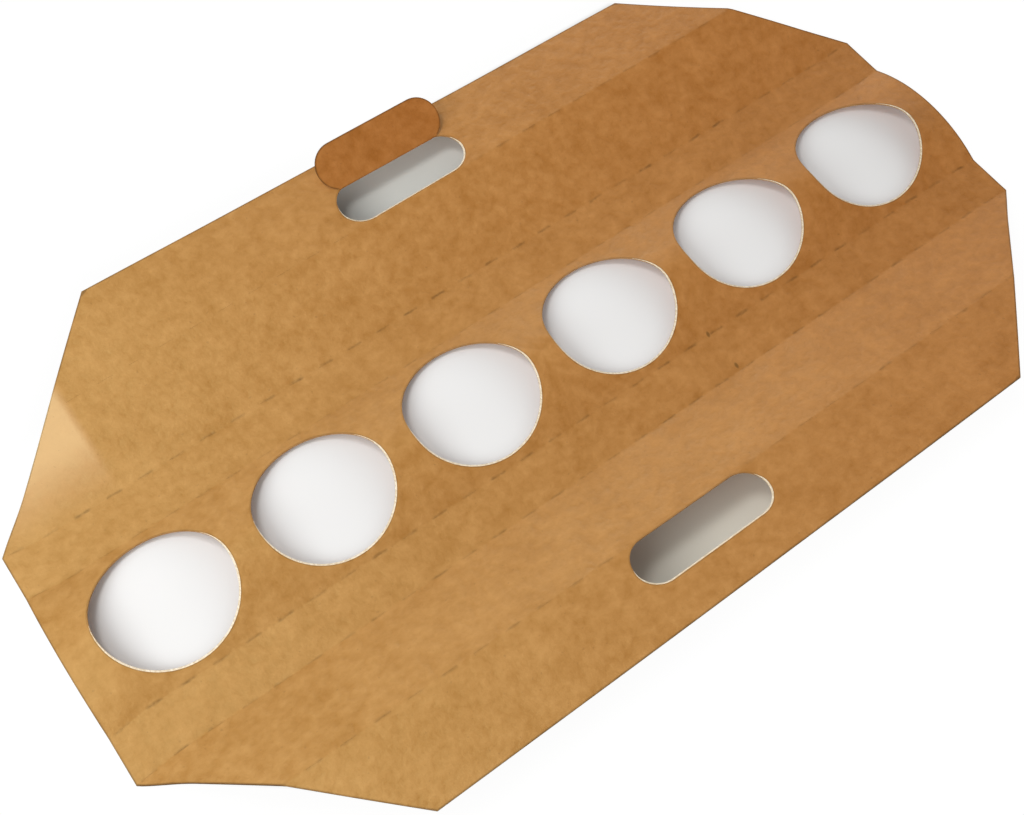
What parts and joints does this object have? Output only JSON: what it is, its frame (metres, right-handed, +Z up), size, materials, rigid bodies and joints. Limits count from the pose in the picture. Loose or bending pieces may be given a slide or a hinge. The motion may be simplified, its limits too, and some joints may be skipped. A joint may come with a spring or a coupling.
{
  "type": "cup carrier",
  "caption": "Die-cut kraft board cup carrier, a long sheet with a row of round cup holes along an arched middle band, hand slots in its raised side wings and perforated fold lines.",
  "frame": {"origin": "middle of the sheet on the plane it rests on, under the centre of the row of holes", "axes": "+X along the row of holes, +Y across the sheet towards the wing whose slot has its flap turned up, +Z up"},
  "size_m": [0.572, 0.336, 0.0385],
  "materials": {
    "kraft_board": "uncoated, faint satin sheen"
  },
  "bodies": {
    "root": {"carrier_sheet": "kraft_board"}
  },
  "joints": []
}
